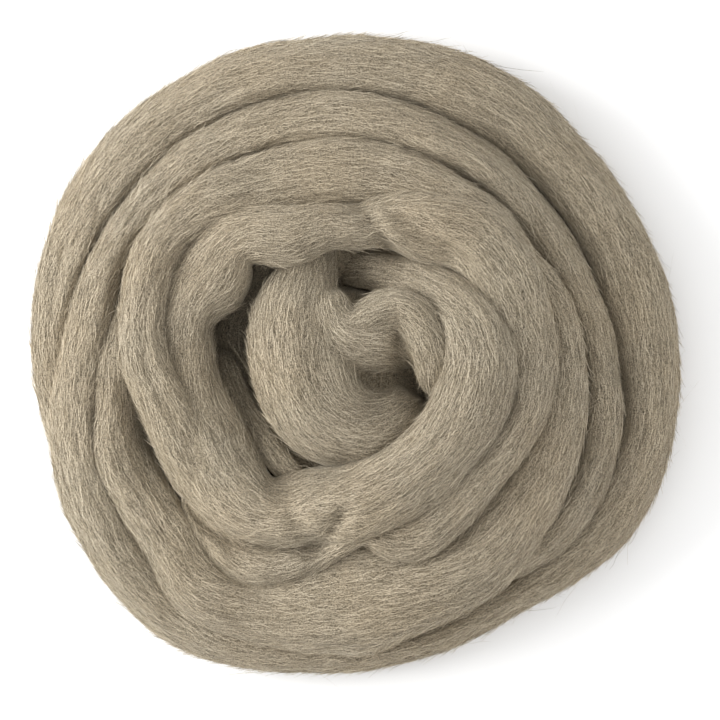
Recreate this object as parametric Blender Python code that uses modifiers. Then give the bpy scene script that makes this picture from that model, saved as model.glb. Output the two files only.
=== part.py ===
"""A coil of combed wool roving.

One loose length of wool top is wound round on itself into a flat nest. The outer turns lie low,
each turn further in rests on the one outside it, and the inner end is tucked over the middle as a
broad loop that runs down into a small hollow. The turns lie pressed together, so the coil is one
solid of their fused outer form, with a flat underside.
"""
import math

import bmesh
import bpy
import numpy as np
from mathutils import Vector

# ---------------------------------------------------------------- driving sizes, millimetres
MM = 0.001
NAME = "wool_roving"
STRAND_RISE = 13.0        # from a turn's widest level up to its crown
SECTION_POINTS = 22       # points round one strand section
TOP_ROUNDNESS = 2.3       # exponent of the crown's curve, 2 is an ellipse
SKIRT_ROUNDNESS = 3.2     # exponent of the pressed part below the widest level
RIM_ROUNDNESS = 2.1       # exponent of the free outer turns
RIM_SINK = 2.0            # how far the outer turns press into the flat underside
PATH_STEP = 3.0           # spacing of sections along a strand
SINK = 3.0                # how far strands run below the surface before the flat cut
LUMP_ALONG = 46.0         # length of one soft swelling along a strand
LUMP_SIZE = 0.035         # its size, as a share of the strand's width
CORE_RADIUS = 88.0        # pressed wool below the turns
CORE_TOP = 10.0           # level of the bottom of the deep gap
VOXEL = 1.7               # grain at which the strands are fused
SLIT = 1.3                # slits narrower than about twice this are closed
SMOOTH_STEPS = 3
FACE_TARGET = 10800       # triangles kept on the fused form
CREASE_FLOOR = 12.0       # creases press only what lies above this level

WOOL_COLOUR = (0.386, 0.332, 0.257, 1.0)

# ---------------------------------------------------------------- the turns
# A turn's row gives its clock angle counter-clockwise from +X in degrees (it keeps counting up past
# a full circle), the radius of its outer edge, the radius of its inner edge, and its crown height.
# Lower turns reach in under the next one, so their inner edge is hidden.
TURN_COLUMNS = ("clock", "outer", "inner", "crown")

# Lowest and outermost turn, from its thin tail at the bottom round to the left side.
OUTER_TURN = [
    (-108, 99.5, 89, 14), (-90, 97.4, 85, 18), (-75, 95.4, 82.5, 20), (-60, 94.6, 80, 21),
    (-45, 98.2, 81, 22), (-30, 102, 83, 24), (-15, 102.6, 82.5, 26), (0, 100.3, 78.5, 27),
    (30, 97.8, 74.5, 27), (45, 97.2, 74.5, 27), (60, 100, 76, 29), (90, 99.4, 78, 31),
    (120, 101.9, 80.5, 30), (150, 102.8, 83, 26), (180, 100.4, 83, 21), (200, 98, 82, 18),
    (215, 96, 82, 14),
]

# Second turn. It comes out over the first at the lower left and forms the rim there.
SECOND_TURN = [
    (-66, 83, 74, 22), (-45, 88.5, 75, 29), (-30, 88.8, 73, 31), (-15, 86.7, 70.5, 33),
    (0, 81.7, 67, 34), (30, 77.3, 61, 35), (60, 78.6, 60.5, 36), (90, 82.3, 62, 37.5),
    (120, 85.1, 65, 37), (150, 87.3, 71, 35), (180, 92.2, 74, 33), (200, 99.2, 80, 31),
    (220, 104.8, 84, 29), (240, 105.3, 87, 26), (260, 99.7, 85, 23), (275, 96.6, 83, 20),
    (290, 92.5, 82, 15),
]

# Third turn: a broad fold along the bottom, then up the right side and across the top.
THIRD_TURN = [
    (160, 74.5, 62, 30), (178, 78.9, 66, 35), (191, 82.6, 66, 35), (201, 88.8, 67, 34),
    (221, 89.1, 68, 35), (236, 96.6, 70, 35), (247, 95.4, 65, 34), (263, 92.8, 55, 35),
    (272, 92, 52, 36.5), (281, 88.4, 54, 38), (300, 85.4, 58.5, 39), (315, 80.8, 57.5, 41),
    (330, 77, 57.5, 41), (345, 73.9, 57.5, 41), (360, 70.8, 57, 41), (375, 68.6, 55.5, 41),
    (390, 64, 51, 41), (405, 65.5, 50, 41), (420, 64.6, 47, 43), (435, 65.8, 43.5, 43.5),
    (450, 67.4, 41.5, 44), (465, 68.8, 42.5, 44), (480, 70.2, 46, 44), (495, 73.9, 55, 45),
    (510, 76.4, 60.5, 45), (525, 74.2, 59.5, 45), (540, 72.4, 56, 45), (555, 68.6, 51, 44),
    (570, 69.6, 49, 42), (585, 70.8, 50, 40),
]

# Fourth turn: the lens-shaped fold that comes out at the lower left, on up the right side, the broad
# band under the top, and the roll beside the deep gap on the left.
FOURTH_TURN = [
    (578, 70.5, 52, 34), (600, 79.8, 59, 37), (610, 75.8, 55, 38), (618, 67.7, 50, 40),
    (626, 60.8, 47, 42), (633, 57.9, 45.7, 43), (638, 60, 46.7, 44), (643, 64, 48.2, 45),
    (651, 65, 48.2, 46), (660, 63.4, 47, 47), (675, 61.2, 45.5, 48), (690, 61.8, 46, 48),
    (705, 62.7, 46.5, 48), (720, 63, 45.5, 48), (735, 62.1, 43, 49), (750, 63.4, 39.5, 49.5),
    (765, 63.8, 37.5, 49), (780, 58, 33, 49.5), (796, 51, 33, 49.5), (806, 47.4, 32.5, 48),
    (815, 47.2, 32.3, 48.5), (825, 48.6, 32.5, 49), (840, 52, 31.7, 50), (855, 60, 40.4, 48),
    (870, 64, 36.6, 45), (880, 64, 41, 43), (890, 63, 43.8, 41), (900, 62, 42.6, 40),
]

# Fifth turn: from the roll down the left, along the bottom, up the highest lobe on the right, and over
# the middle, where it dips under the top band.
FIFTH_TURN = [
    (915, 63.7, 41, 41), (930, 66.8, 39, 42), (945, 70.2, 41.3, 43), (960, 67.1, 43.5, 45),
    (975, 61.8, 35, 48), (990, 58.4, 31, 51), (1005, 55, 28.6, 53), (1020, 51.6, 26.7, 55),
    (1035, 50, 25.5, 56), (1050, 50.6, 24.8, 56), (1065, 50, 24.8, 56), (1080, 49.4, 25.5, 55),
    (1095, 47.2, 24.8, 53), (1110, 43.5, 23.3, 49), (1125, 39.8, 20.5, 44), (1145, 35.5, 19.2, 37),
    (1165, 33, 18.7, 31), (1185, 32, 19, 26),
]

# ---------------------------------------------------------------- the loop over the middle
# A fold's row gives a point on its centre line, its half width and its crown height.
FOLD_COLUMNS = ("x", "y", "half_width", "crown")

# Broad loop that comes out from under the top band, turns at the bottom and goes under the high lobe.
MIDDLE_LOOP = [
    (-13, 42, 8, 35), (-14.6, 28, 8.8, 41), (-17.2, 16, 13, 48), (-17.5, 3.5, 15, 52),
    (-14.5, -9, 15, 53), (-8, -18.5, 14.3, 52), (2, -22.5, 13, 49), (12.5, -20, 11.2, 44),
    (21.5, -13.5, 9.5, 38),
]

# Small curl that leaves the loop, arches over and comes down on the right of the hollow.
CURL = [
    (-9, 17, 5, 44), (-6, 11, 5.5, 47.5), (0, 9.5, 6, 48.5), (6, 13, 6, 49.5), (11.5, 14.5, 6.3, 50),
    (17.5, 12.5, 6.5, 51), (22, 7.5, 6.5, 51), (25, 0.5, 6.5, 50), (26.5, -7, 6, 48),
    (26.5, -14, 5.5, 44),
]

# Wool that leaves the loop below the curl and falls away into the hollow.
VALLEY = [
    (-9, 22, 8, 45), (-8, 13, 8.5, 48.5), (-4, 7, 9, 49.5), (3, 5, 9.5, 48.5), (10, 4.5, 9, 46.5),
    (16, 2.5, 8, 42), (21, -2, 6.5, 35),
]

# Bottom of the hollow, a slot that deepens to the right.
HOLLOW = [
    (-8, -8, 6, 42), (0, -8, 6, 36), (8, -8, 6, 30), (15, -8.5, 6, 26), (22, -9, 5, 24),
]

# Narrow strand that shows in the deep gap between the loop and the left side.
NARROW_STRAND = [
    (-42, 2.5, 3.6, 20), (-37.2, -10, 4.2, 26), (-31.7, -20, 4.4, 30), (-26, -28.5, 4.4, 33),
    (-19.5, -36.5, 4.1, 36), (-12.5, -43, 3.8, 38),
]

# Lower wool that closes the depth below the folds over the middle.
LOWER_RING = [
    (-26, 24, 12, 28), (-10, 33, 12, 30), (8, 33, 12, 28), (24, 24, 12, 30), (32, 8, 12, 32),
    (28, -8, 12, 26), (12, -10, 12, 20), (0, -4, 12, 28), (0, 10, 12, 33), (1, 22, 9, 31),
]

# Wool at the bottom of the deep gap, on both sides of the narrow strand.
GAP_FLOOR = [
    (-27, 34, 8, 34), (-31, 24, 8, 27), (-38.5, 8, 7, 16), (-35, -8, 7, 18), (-29, -20, 6.5, 24),
    (-22, -30, 6.5, 29), (-14, -38, 6.5, 33), (-7, -43, 6, 36),
]

# Creases pressed into the fused form. A row gives how wide and how deep the crease is and the points
# it runs through.
CREASE_COLUMNS = ("width", "depth", "points")
CREASES = {
    "outer edge of the second turn": (3, 2, [(-28, 79.5), (-42.5, 74.5), (-60, 62), (-76, 43.6),
        (-87, 20), (-91.5, 2)]),
    "outer edge of the third turn": (3, 2.4, [(-22, 67), (-35.1, 61.8), (-52.8, 53), (-67, 38.2),
        (-73, 19.2), (-73.4, 3)]),
    "outer edge of the fourth turn": (3, 1.6, [(-34, 51), (-40.4, 47.8), (-49.7, 36), (-55.9, 25.8),
        (-56.5, 14), (-54.5, 0.6)]),
    "gap beside the left side": (4.5, 4, [(-72, -6), (-69.5, -15), (-66.5, -24), (-63.5, -33),
        (-60.8, -42)]),
    "where the right side comes over": (3, 2.6, [(1, 45.5), (4.4, 42), (7, 38.5), (9.5, 35.5)]),
    "dip right of the band": (4, 4, [(6.5, 49), (10, 45), (15.5, 41.6), (23.9, 36), (31.1, 31.1),
        (36.5, 25.5)]),
    "side of the curl": (2.4, 3, [(13, 13), (13.8, 7), (13.5, 1), (14.5, -5)]),
    "bottom slope to the loop": (4.5, 4.5, [(-27, -43), (-21.7, -40), (-14, -39), (-6.2, -36),
        (1, -33)]),
    "between the left side and the lobe": (3.2, 3, [(-22, -39), (-19.6, -46.3), (-18, -51.6),
        (-14, -57), (-8, -61)]),
    "bottom of the lobe": (2.2, 2.4, [(-15.5, -59.5), (-10.6, -56.2), (-7.5, -52.8), (-4.7, -50)]),
    "over the lens fold": (2, 3.2, [(-48, -50), (-44.4, -54), (-38.8, -57.5), (-33.9, -59),
        (-23, -59.2), (-14.9, -59.6), (-8, -62)]),
}


def clear_scene():
    """Take away whatever the scene starts with."""
    for item in list(bpy.data.objects):
        bpy.data.objects.remove(item, do_unlink=True)


def smooth_rows(rows, steps=10):
    """Catmull-Rom curve through the rows of a table, every column at once."""
    keys = np.array(rows, dtype=float)
    last = len(keys) - 1
    found = []
    for i in range(last):
        before, start = keys[max(i - 1, 0)], keys[i]
        end, after = keys[i + 1], keys[min(i + 2, last)]
        for t in np.linspace(0.0, 1.0, steps, endpoint=False):
            bend = 2 * before - 5 * start + 4 * end - after
            turn = 3 * start - before - 3 * end + after
            found.append(0.5 * (2 * start + (end - before) * t + bend * t * t + turn * t ** 3))
    found.append(keys[last])
    return np.array(found)


def turn_route(rows):
    """Centre line, half width and crown of a turn given by its clock angles and edge radii."""
    line = dict(zip(TURN_COLUMNS, smooth_rows(rows).T))
    clock = np.radians(line["clock"])
    centre = (line["outer"] + line["inner"]) / 2
    fold = {
        "x": centre * np.cos(clock),
        "y": centre * np.sin(clock),
        "half_width": (line["outer"] - line["inner"]) / 2,
        "crown": line["crown"],
    }
    return np.stack([fold[name] for name in FOLD_COLUMNS], axis=1)


def even_route(route, step):
    """The same route with its sections about one step apart."""
    gaps = np.hypot(np.diff(route[:, 0]), np.diff(route[:, 1]))
    along = np.concatenate([[0.0], np.cumsum(gaps)])
    count = max(int(along[-1] / step), 6)
    wanted = np.linspace(0.0, along[-1], count)
    columns = [np.interp(wanted, along, column) for column in route.T]
    return np.stack(columns + [wanted], axis=1)


def strand_section(half, crown, along, phase):
    """Points (across, height) round one section: a soft crown over a pressed skirt."""
    rise = min(STRAND_RISE, half, crown / 2 + SINK / 2)
    middle = crown - rise
    points = []
    for i in range(SECTION_POINTS):
        a = 2 * math.pi * i / SECTION_POINTS
        c, s = math.cos(a), math.sin(a)
        power = 2 / (TOP_ROUNDNESS if s >= 0 else SKIRT_ROUNDNESS)
        swell = 1 + LUMP_SIZE * math.sin(3 * a + 2 * math.pi * along / LUMP_ALONG + phase)
        across = half * swell * math.copysign(abs(c) ** power, c)
        reach = rise * swell if s >= 0 else middle + SINK
        points.append((across, middle + reach * math.copysign(abs(s) ** power, s)))
    return points


def rim_section(half, crown, along, phase):
    """Points of the free outermost turns, whose side rounds in under them."""
    rise = (crown + RIM_SINK) / 2
    middle = crown - rise
    points = []
    for i in range(SECTION_POINTS):
        a = 2 * math.pi * i / SECTION_POINTS
        c, s = math.cos(a), math.sin(a)
        power = 2 / RIM_ROUNDNESS
        swell = 1 + LUMP_SIZE * math.sin(3 * a + 2 * math.pi * along / LUMP_ALONG + phase)
        across = half * (swell if c < 0 else 1.0) * math.copysign(abs(c) ** power, c)
        points.append((across, middle + rise * math.copysign(abs(s) ** power, s)))
    return points


def add_strand(shape, route, section, phase):
    """Loft one closed strand through its sections into the shared mesh."""
    rows = even_route(route, PATH_STEP)
    ways = np.gradient(rows[:, :2], axis=0)
    ways /= np.linalg.norm(ways, axis=1)[:, None]
    rings = []
    for (x, y, half, crown, along), (wx, wy) in zip(rows, ways):
        ring = [
            shape.verts.new((
                (x + wy * across) * MM,
                (y - wx * across) * MM,
                height * MM,
            ))
            for across, height in section(half, crown, along, phase)
        ]
        rings.append(ring)
    for low, high in zip(rings, rings[1:]):
        for i in range(SECTION_POINTS):
            j = (i + 1) % SECTION_POINTS
            shape.faces.new((low[i], low[j], high[j], high[i]))
    shape.faces.new(rings[0][::-1])
    shape.faces.new(rings[-1])


def add_core(shape):
    """Pressed wool below the turns, as a low disc."""
    depth = CORE_TOP + SINK
    made = bmesh.ops.create_cone(
        shape, cap_ends=True, segments=96, depth=depth * MM,
        radius1=CORE_RADIUS * MM, radius2=CORE_RADIUS * MM,
    )
    lift = Vector((0.0, 0.0, (CORE_TOP - depth / 2) * MM))
    bmesh.ops.translate(shape, verts=made["verts"], vec=lift)


def wound_strands():
    """All strands and the core as one mesh of overlapping closed shapes."""
    shape = bmesh.new()
    add_strand(shape, turn_route(OUTER_TURN), rim_section, 0.0)
    add_strand(shape, turn_route(SECOND_TURN), rim_section, 1.3)
    add_strand(shape, turn_route(THIRD_TURN), strand_section, 2.1)
    add_strand(shape, turn_route(FOURTH_TURN + FIFTH_TURN), strand_section, 0.7)
    folds = (MIDDLE_LOOP, CURL, VALLEY, HOLLOW, NARROW_STRAND, LOWER_RING, GAP_FLOOR)
    for phase, fold in enumerate(folds):
        add_strand(shape, smooth_rows(fold), strand_section, 1.1 * phase)
    add_core(shape)
    bmesh.ops.recalc_face_normals(shape, faces=shape.faces)
    mesh = bpy.data.meshes.new("strands")
    shape.to_mesh(mesh)
    shape.free()
    return mesh


def evaluated_copy(item):
    """A plain mesh of an object with its modifiers applied."""
    graph = bpy.context.evaluated_depsgraph_get()
    return bpy.data.meshes.new_from_object(item.evaluated_get(graph), depsgraph=graph)


def fuse(mesh, collection):
    """Fuse the overlapping strands into one skin, close its thin slits, then ease and thin it."""
    item = bpy.data.objects.new("fusing", mesh)
    collection.objects.link(item)
    for name, swell in (("fuse", SLIT), ("close_slits", -SLIT), ("even_out", 0.0)):
        remesh = item.modifiers.new(name, "REMESH")
        remesh.mode = "VOXEL"
        remesh.voxel_size = VOXEL * MM
        offset = item.modifiers.new(name + "_offset", "DISPLACE")
        offset.mid_level = 0.0
        offset.strength = swell * MM
    ease = item.modifiers.new("ease", "SMOOTH")
    ease.factor = 0.5
    ease.iterations = SMOOTH_STEPS
    fused = evaluated_copy(item)
    faces = sum(len(p.vertices) - 2 for p in fused.polygons)
    thin = item.modifiers.new("thin", "DECIMATE")
    thin.ratio = min(1.0, FACE_TARGET / faces)
    thin.use_collapse_triangulate = True
    result = evaluated_copy(item)
    bpy.data.objects.remove(item, do_unlink=True)
    return result


def press_creases(shape):
    """Push the top of the form down along each crease, softly, fading out at the crease's ends."""
    spots = np.array([v.co for v in shape.verts]) / MM
    upper = spots[:, 2] > CREASE_FLOOR
    for crease in CREASES.values():
        width, depth, points = (dict(zip(CREASE_COLUMNS, crease))[name] for name in CREASE_COLUMNS)
        path = smooth_rows(points)
        gaps = np.hypot(spots[:, None, 0] - path[None, :, 0], spots[:, None, 1] - path[None, :, 1])
        share = (gaps.argmin(axis=1) + 0.5) / len(path)
        fade = np.sin(np.pi * share) ** 0.5
        spots[:, 2] -= upper * depth * fade * np.exp(-(gaps.min(axis=1) / width) ** 2)
    for vert, spot in zip(shape.verts, spots):
        vert.co.z = spot[2] * MM


def keep_largest_skin(shape):
    """Drop any closed pocket or loose crumb, so one skin remains."""
    left = set(shape.faces)
    skins = []
    while left:
        seed = left.pop()
        skin, front = [seed], [seed]
        while front:
            face = front.pop()
            for edge in face.edges:
                for other in edge.link_faces:
                    if other in left:
                        left.remove(other)
                        skin.append(other)
                        front.append(other)
        skins.append(skin)
    skins.sort(key=len)
    for skin in skins[:-1]:
        bmesh.ops.delete(shape, geom=skin, context="FACES")
    stray = [v for v in shape.verts if not v.link_faces]
    bmesh.ops.delete(shape, geom=stray, context="VERTS")


def flat_base(shape):
    """Cut the underside flat at the surface and close it with one plane."""
    parts = shape.verts[:] + shape.edges[:] + shape.faces[:]
    cut = bmesh.ops.bisect_plane(
        shape, geom=parts, dist=0.02 * MM, plane_co=(0, 0, 0), plane_no=(0, 0, 1), clear_inner=True,
    )
    rim = [e for e in cut["geom_cut"] if isinstance(e, bmesh.types.BMEdge) and e.is_boundary]
    bmesh.ops.holes_fill(shape, edges=rim, sides=0)


def centre_on_origin(shape):
    """Middle of the outline over the origin, every point of the underside level."""
    for vert in shape.verts:
        if vert.co.z < 0.03 * MM:
            vert.co.z = 0.0
    spots = np.array([v.co for v in shape.verts])
    middle = (spots.min(axis=0) + spots.max(axis=0)) / 2
    bmesh.ops.translate(shape, verts=shape.verts, vec=Vector((-middle[0], -middle[1], 0.0)))


def wool_material():
    """Undyed combed wool."""
    material = bpy.data.materials.new("undyed_wool")
    material.use_nodes = True
    shader = material.node_tree.nodes["Principled BSDF"]
    shader.inputs["Base Color"].default_value = WOOL_COLOUR
    shader.inputs["Roughness"].default_value = 0.9
    shader.inputs["Metallic"].default_value = 0.0
    material.diffuse_color = WOOL_COLOUR
    return material


def make_coil():
    """The coil as one closed solid."""
    collection = bpy.data.collections.new("wool_roving_coil")
    bpy.context.scene.collection.children.link(collection)
    mesh = fuse(wound_strands(), collection)
    shape = bmesh.new()
    shape.from_mesh(mesh)
    keep_largest_skin(shape)
    press_creases(shape)
    flat_base(shape)
    keep_largest_skin(shape)
    centre_on_origin(shape)
    bmesh.ops.triangulate(shape, faces=shape.faces)
    bmesh.ops.dissolve_degenerate(shape, dist=0.02 * MM, edges=shape.edges)
    bmesh.ops.triangulate(shape, faces=shape.faces)
    bmesh.ops.recalc_face_normals(shape, faces=shape.faces)
    coil = bpy.data.meshes.new(NAME)
    shape.to_mesh(coil)
    shape.free()
    coil.materials.append(wool_material())
    coil.shade_smooth()
    item = bpy.data.objects.new(NAME, coil)
    collection.objects.link(item)
    return item


clear_scene()
make_coil()
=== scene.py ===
import math

import bmesh
import bpy
import numpy as np
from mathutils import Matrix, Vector


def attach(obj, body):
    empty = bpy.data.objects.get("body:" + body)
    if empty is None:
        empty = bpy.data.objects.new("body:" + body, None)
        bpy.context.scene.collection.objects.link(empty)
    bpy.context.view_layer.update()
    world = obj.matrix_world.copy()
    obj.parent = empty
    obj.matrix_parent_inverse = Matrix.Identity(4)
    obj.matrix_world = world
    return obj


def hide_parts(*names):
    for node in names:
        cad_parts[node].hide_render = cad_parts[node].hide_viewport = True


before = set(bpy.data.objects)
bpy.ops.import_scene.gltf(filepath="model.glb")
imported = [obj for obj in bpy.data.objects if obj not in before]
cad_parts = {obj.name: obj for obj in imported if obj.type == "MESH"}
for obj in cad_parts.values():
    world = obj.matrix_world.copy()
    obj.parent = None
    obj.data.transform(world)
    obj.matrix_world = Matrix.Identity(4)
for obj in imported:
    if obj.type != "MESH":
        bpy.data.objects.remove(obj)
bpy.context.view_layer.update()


# ---------------------------------------------------------------------------------------------------
# The wound wool.
# One long strand of combed wool top, about as thick as two fingers. It is wound flat on itself from
# the outside in, each turn rests on the one before, and nothing holds it but its own fibres.

MM = 0.001

# In millimetres: height of a strand from its widest place to its crown, and how far the inner turns
# sink below the table before they are cut off level.
STRAND_RISE = 13.0
SINK = 3.0

# Turns: clock angle counter-clockwise from +X in degrees, outer edge radius, inner edge radius, and
# crown height, in millimetres. The angle keeps counting up past a full circle.
OUTER_TURN = [
    (-108, 99.5, 90.3, 14), (-90, 97.4, 86.3, 18), (-75, 95.4, 83.8, 20), (-60, 94.6, 81.3, 21),
    (-45, 98.2, 82.3, 22), (-30, 102, 84.3, 24), (-15, 102.6, 83.8, 26), (0, 100.3, 79.8, 27),
    (30, 97.8, 75.8, 27), (45, 97.2, 75.8, 27), (60, 100, 77.3, 29), (90, 99.4, 79.3, 31),
    (120, 101.9, 81.8, 30), (150, 102.8, 84.3, 26), (180, 100.4, 84.3, 21), (200, 98, 83.3, 18),
    (215, 96, 83.3, 14),
]
SECOND_TURN = [
    (-66, 83, 75.3, 22), (-45, 88.5, 76.3, 29), (-30, 88.8, 74.3, 31), (-15, 86.7, 71.8, 33),
    (0, 81.7, 68.3, 34), (30, 77.3, 62.3, 35), (60, 78.6, 61.8, 36), (90, 82.3, 63.3, 37.5),
    (120, 85.1, 66.3, 37), (150, 87.3, 72.3, 35), (180, 92.2, 75.3, 33), (200, 99.2, 81.3, 31),
    (220, 104.8, 85.3, 29), (240, 105.3, 88.3, 26), (260, 99.7, 86.3, 23), (275, 96.6, 84.3, 20),
    (290, 92.5, 83.3, 15),
]
THIRD_TURN = [
    (160, 74.5, 63.3, 30), (178, 78.9, 67.3, 35), (191, 82.6, 67.3, 35), (201, 88.8, 68.3, 34),
    (221, 89.1, 69.3, 35), (236, 96.6, 71.3, 35), (247, 95.4, 66.3, 34), (263, 92.8, 56.3, 35),
    (272, 92, 53.3, 36.5), (281, 88.4, 55.3, 38), (300, 85.4, 59.8, 39), (315, 80.8, 58.8, 41),
    (330, 77, 58.8, 41), (345, 73.9, 58.8, 41), (360, 70.8, 58.3, 41), (375, 68.6, 56.8, 41),
    (390, 64, 52.3, 41), (405, 65.5, 51.3, 41), (420, 64.6, 48.3, 43), (435, 65.8, 44.8, 43.5),
    (450, 67.4, 42.8, 44), (465, 68.8, 43.8, 44), (480, 70.2, 47.3, 44), (495, 73.9, 56.3, 45),
    (510, 76.4, 61.8, 45), (525, 74.2, 60.8, 45), (540, 72.4, 57.3, 45), (555, 68.6, 52.3, 44),
    (570, 69.6, 50.3, 42), (585, 70.8, 51.3, 40),
]
FOURTH_TURN = [
    (578, 70.5, 53.3, 34), (600, 79.8, 60.3, 37), (610, 75.8, 56.3, 38), (618, 67.7, 51.3, 40),
    (626, 60.8, 48.3, 42), (633, 57.9, 47, 43), (638, 60, 48, 44), (643, 64, 49.5, 45),
    (651, 65, 49.5, 46), (660, 63.4, 48.3, 47), (675, 61.2, 46.8, 48), (690, 61.8, 47.3, 48),
    (705, 62.7, 47.8, 48), (720, 63, 46.8, 48), (735, 62.1, 44.3, 49), (750, 63.4, 40.8, 49.5),
    (765, 63.8, 38.8, 49), (780, 58, 34.3, 49.5), (796, 51, 34.3, 49.5), (806, 47.4, 33.8, 48),
    (815, 47.2, 33.6, 48.5), (825, 48.6, 33.8, 49), (840, 52, 33, 50), (855, 60, 41.7, 48),
    (870, 64, 37.9, 45), (880, 64, 42.3, 43), (890, 63, 45.1, 41), (900, 62, 43.9, 40),
]
FIFTH_TURN = [
    (915, 63.7, 42.3, 41), (930, 66.8, 40.3, 42), (945, 70.2, 42.6, 43), (960, 67.1, 44.8, 45),
    (975, 61.8, 36.3, 48), (990, 58.4, 32.3, 51), (1005, 55, 29.9, 53), (1020, 51.6, 28, 55),
    (1035, 50, 26.8, 56), (1050, 50.6, 26.1, 56), (1065, 50, 26.1, 56), (1080, 49.4, 26.8, 55),
    (1095, 47.2, 26.1, 53), (1110, 43.5, 24.6, 49), (1125, 39.8, 21.8, 44), (1145, 35.5, 20.5, 37),
    (1165, 33, 20, 31), (1185, 32, 20.3, 26),
]

# Folds over the middle: a point on the centre line, half width and crown height, in millimetres.
MIDDLE_LOOP = [
    (-13, 42, 8, 35), (-14.6, 28, 8.8, 41), (-17.2, 16, 13, 48), (-17.5, 3.5, 15, 52),
    (-14.5, -9, 15, 53), (-8, -18.5, 14.3, 52), (2, -22.5, 13, 49), (12.5, -20, 11.2, 44),
    (21.5, -13.5, 9.5, 38),
]
CURL = [
    (-9, 17, 5, 44), (-6, 11, 5.5, 47.5), (0, 9.5, 6, 48.5), (6, 13, 6, 49.5), (11.5, 14.5, 6.3, 50),
    (17.5, 12.5, 6.5, 51), (22, 7.5, 6.5, 51), (25, 0.5, 6.5, 50), (26.5, -7, 6, 48),
    (26.5, -14, 5.5, 44),
]
VALLEY = [
    (-9, 22, 8, 45), (-8, 13, 8.5, 48.5), (-4, 7, 9, 49.5), (3, 5, 9.5, 48.5), (10, 4.5, 9, 46.5),
    (16, 2.5, 8, 42), (21, -2, 6.5, 35),
]
HOLLOW = [
    (-8, -8, 6, 42), (0, -8, 6, 37.5), (8, -8, 6, 33), (15, -8.5, 6, 29), (22, -9, 5, 26),
]
NARROW_STRAND = [
    (-42, 2.5, 3.6, 20), (-37.2, -10, 4.2, 26), (-31.7, -20, 4.4, 30), (-26, -28.5, 4.4, 33),
    (-19.5, -36.5, 4.1, 36), (-12.5, -43, 3.8, 38),
]
LOWER_RING = [
    (-26, 24, 12, 28), (-10, 33, 12, 30), (8, 33, 12, 28), (24, 24, 12, 30), (32, 8, 12, 32),
    (28, -8, 12, 26), (12, -10, 12, 20), (0, -4, 12, 28), (0, 10, 12, 33), (1, 22, 9, 31),
]
LOWER_LEFT = [
    (-44, 36, 15, 13), (-48, 14, 16, 13), (-44, -10, 16, 13), (-34, -30, 16, 13), (-14, -44, 15, 13),
]
GAP_FLOOR = [
    (-27, 34, 8, 34), (-31, 24, 8, 27), (-38.5, 8, 7, 16), (-35, -8, 7, 18), (-29, -20, 6.5, 24),
    (-22, -30, 6.5, 29), (-14, -38, 6.5, 33), (-7, -43, 6, 36),
]


class Wire:
    """A node socket that can be used in Python sums: each operator adds one maths node."""

    def __init__(self, net, socket):
        self.net = net
        self.socket = socket

    def __add__(self, other):
        return self.net.maths("ADD", self, other)

    def __sub__(self, other):
        return self.net.maths("SUBTRACT", self, other)

    def __rsub__(self, other):
        return self.net.maths("SUBTRACT", other, self)

    def __mul__(self, other):
        return self.net.maths("MULTIPLY", self, other)

    def __truediv__(self, other):
        return self.net.maths("DIVIDE", self, other)

    def __rtruediv__(self, other):
        return self.net.maths("DIVIDE", other, self)

    def __pow__(self, other):
        return self.net.maths("POWER", self, other)


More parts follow.
